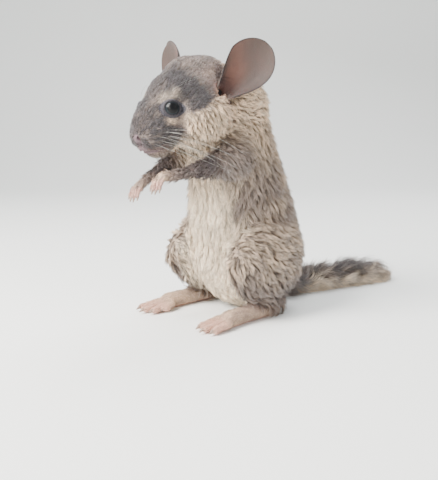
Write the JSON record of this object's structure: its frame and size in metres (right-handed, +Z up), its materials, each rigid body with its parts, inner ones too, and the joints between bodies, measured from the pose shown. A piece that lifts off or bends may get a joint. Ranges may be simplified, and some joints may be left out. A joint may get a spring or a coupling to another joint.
{
  "type": "chinchilla",
  "caption": "Life-size still model of a grey chinchilla sitting up on its haunches, forepaws held out, ears raised, tail laid along the floor behind.",
  "frame": {"origin": "middle of the flat under the rump, on the floor", "axes": "+Z up, +Y towards the tail, so that the animal faces -Y, and +X towards the animal's left side"},
  "size_m": [0.1092, 0.2771, 0.2076],
  "materials": {
    "fur": "dense soft fur, grey above and cream below",
    "bare_skin": "thin skin, pinkish, with very short hair",
    "eye": "wet and glossy"
  },
  "bodies": {
    "root": {"torso": "fur", "neck": "fur", "head": "fur", "tail": "fur", "eye_left": "eye", "eye_right": "eye", "ear_left": "bare_skin", "ear_right": "bare_skin", "haunch_left": "fur", "haunch_right": "fur", "hind_foot_left": "bare_skin", "hind_foot_right": "bare_skin", "foreleg_left": "fur", "foreleg_right": "fur", "forepaw_left": "bare_skin", "forepaw_right": "bare_skin"}
  },
  "joints": []
}
